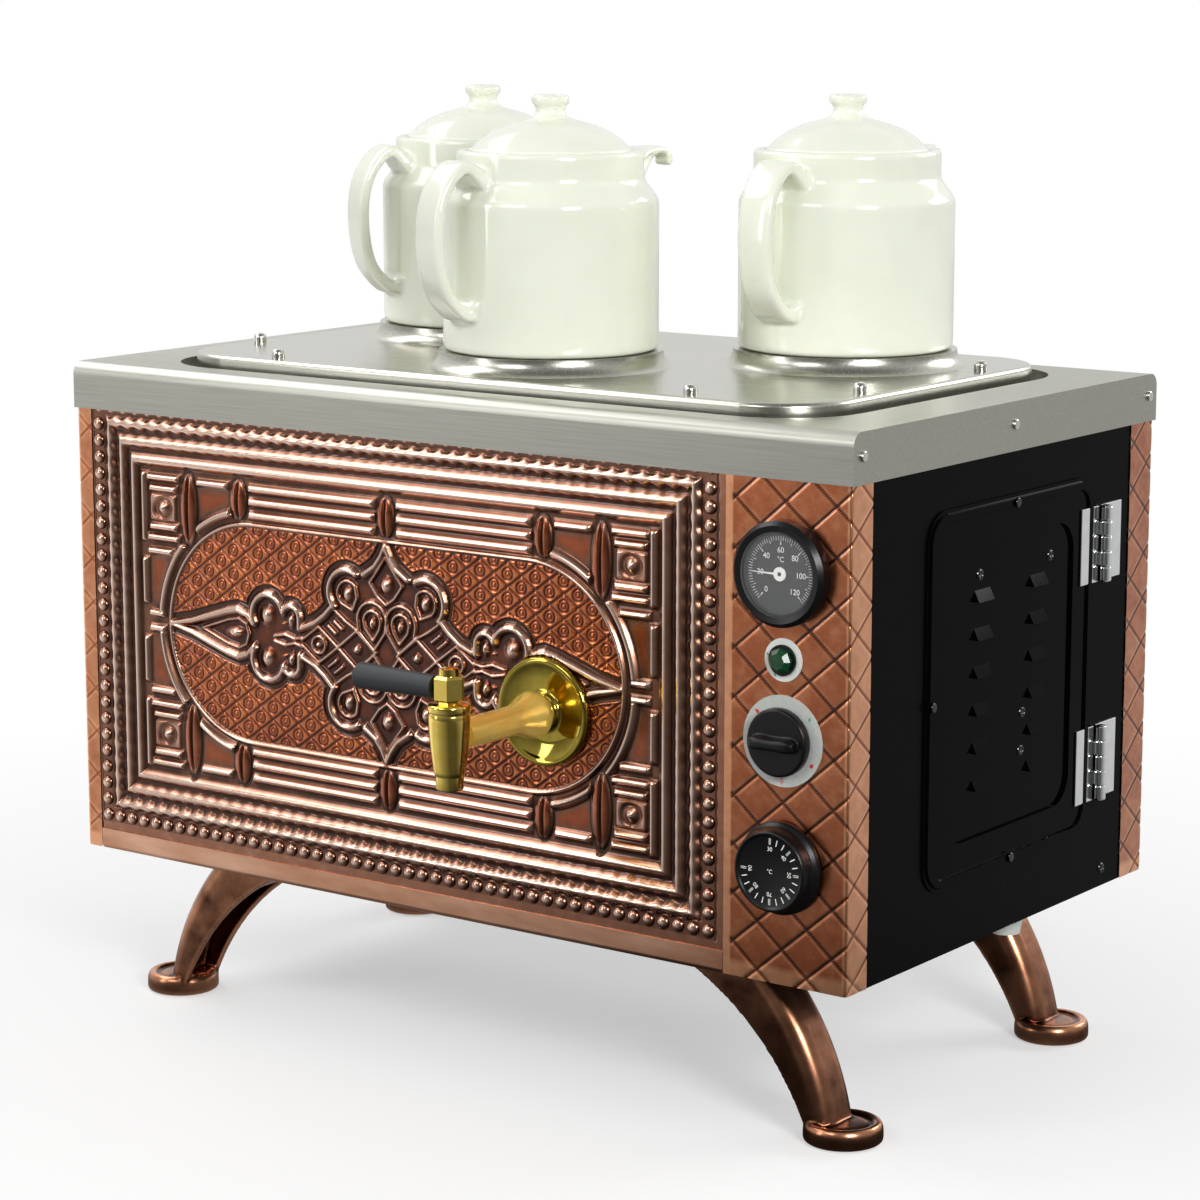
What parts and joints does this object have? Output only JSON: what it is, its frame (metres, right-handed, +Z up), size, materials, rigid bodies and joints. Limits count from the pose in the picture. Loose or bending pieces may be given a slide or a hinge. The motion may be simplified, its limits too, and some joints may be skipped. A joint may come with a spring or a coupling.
{
  "type": "electric tea maker",
  "caption": "Counter tea boiler on sabre legs: embossed copper front, steel top with seats for lidded porcelain teapots, brass tap, dial thermometer, selector, thermostat and side door.",
  "frame": {"origin": "on the floor, under the middle of the casing, at the centre of the rectangle of the four feet", "axes": "+X along the front to the control strip, +Y from the tap side to the back, +Z up"},
  "size_m": [0.6086, 0.4824, 0.6053],
  "materials": {
    "stainless_steel": "brushed along the length",
    "nickelled_steel": "bright plated",
    "embossed_copper": "pressed copper sheet with dark patina in the hollows",
    "black_painted_steel": "gloss powder coat",
    "galvanised_steel": "dull zinc",
    "copper_coated_casting": "rubbed antique copper coat",
    "chrome": "polished",
    "cast_iron": "as cast",
    "polished_brass": "polished",
    "black_plastic": "fine satin",
    "pale_grey_plastic": "satin",
    "white_paint": "satin",
    "clear_glass": "clear",
    "green_lens": "gloss",
    "silicone_rubber": "soft matt",
    "porcelain": "glossy cream glaze"
  },
  "bodies": {
    "casing": {"back_panel": "black_painted_steel", "base_pan": "galvanised_steel", "cable_gland": "pale_grey_plastic", "control_strip": "embossed_copper", "element_nut": "nickelled_steel", "end_cap_rivets": "nickelled_steel", "front_bottom_rail": "embossed_copper", "front_left_strip": "embossed_copper", "front_panel": "embossed_copper", "gas_burner": "cast_iron", "gas_pipe": "nickelled_steel", "gland_nut": "pale_grey_plastic", "heating_element": "nickelled_steel", "hinge_leaves_fixed": "chrome", "hinge_pins": "chrome", "left_side_panel": "black_painted_steel", "leg_bolts": "nickelled_steel", "leg_front_left": "copper_coated_casting", "leg_front_right": "copper_coated_casting", "leg_rear_left": "copper_coated_casting", "leg_rear_right": "copper_coated_casting", "lid_gasket": "silicone_rubber", "lid_studs": "nickelled_steel", "pilot_disc": "pale_grey_plastic", "pilot_holder": "black_plastic", "pilot_lens": "green_lens", "rear_left_strip": "embossed_copper", "rear_right_strip": "embossed_copper", "right_side_panel": "black_painted_steel", "selector_dial": "pale_grey_plastic", "selector_switch": "black_plastic", "tank_lid": "stainless_steel", "tap_body": "polished_brass", "tap_nut": "polished_brass", "tap_pipe": "polished_brass", "tap_rosette": "polished_brass", "thermometer_case": "black_plastic", "thermometer_dial": "black_plastic", "thermometer_glass": "clear_glass", "thermostat_body": "black_plastic", "top_tray": "stainless_steel", "tray_end_cap_left": "stainless_steel", "tray_end_cap_right": "stainless_steel", "water_tank": "stainless_steel"},
    "door": {"door": "black_painted_steel", "hinge_leaves_door": "chrome", "door_screws": "nickelled_steel"},
    "tap_handle": {"tap_spindle": "polished_brass", "tap_lever": "black_plastic"},
    "selector": {"selector_knob": "black_plastic", "selector_spindle": "nickelled_steel"},
    "thermostat": {"thermostat_knob": "black_plastic", "thermostat_spindle": "nickelled_steel"},
    "needle": {"thermometer_needle": "white_paint"},
    "pot_left": {"teapot_left": "porcelain"},
    "pot_centre": {"teapot_centre": "porcelain"},
    "pot_right": {"teapot_right": "porcelain"},
    "pot_lid_left": {"teapot_lid_left": "porcelain"},
    "pot_lid_centre": {"teapot_lid_centre": "porcelain"},
    "pot_lid_right": {"teapot_lid_right": "porcelain"}
  },
  "joints": [
    {"name": "door_hinge", "type": "hinge", "parent": "casing", "child": "door", "pos_m": [0.303, 0.1115, 0.26], "axis": [0, 0, 1], "range_deg": [0, 120]},
    {"name": "tap_turn", "type": "hinge", "parent": "casing", "child": "tap_handle", "pos_m": [0.0845, -0.2699, 0.275], "axis": [0, 0, 1], "range_deg": [0, 90]},
    {"name": "selector_turn", "type": "hinge", "parent": "casing", "child": "selector", "pos_m": [0.2545, -0.1787, 0.25], "axis": [0, -1, 0], "range_deg": [-180, 90]},
    {"name": "thermostat_turn", "type": "hinge", "parent": "casing", "child": "thermostat", "pos_m": [0.2545, -0.1787, 0.176], "axis": [0, -1, 0], "range_deg": [0, 270]},
    {"name": "needle_turn", "type": "hinge", "parent": "casing", "child": "needle", "pos_m": [0.2545, -0.1787, 0.347], "axis": [0, 1, 0], "range_deg": [-45, 225]},
    {"name": "pot_lift_left", "type": "slide", "parent": "casing", "child": "pot_left", "axis": [0, 0, 1], "range_m": [0, 0.2]},
    {"name": "lid_lift_left", "type": "slide", "parent": "pot_left", "child": "pot_lid_left", "axis": [0, 0, 1], "range_m": [0, 0.08]},
    {"name": "pot_lift_centre", "type": "slide", "parent": "casing", "child": "pot_centre", "axis": [0, 0, 1], "range_m": [0, 0.2]},
    {"name": "lid_lift_centre", "type": "slide", "parent": "pot_centre", "child": "pot_lid_centre", "axis": [0, 0, 1], "range_m": [0, 0.08]},
    {"name": "pot_lift_right", "type": "slide", "parent": "casing", "child": "pot_right", "axis": [0, 0, 1], "range_m": [0, 0.2]},
    {"name": "lid_lift_right", "type": "slide", "parent": "pot_right", "child": "pot_lid_right", "axis": [0, 0, 1], "range_m": [0, 0.08]}
  ]
}
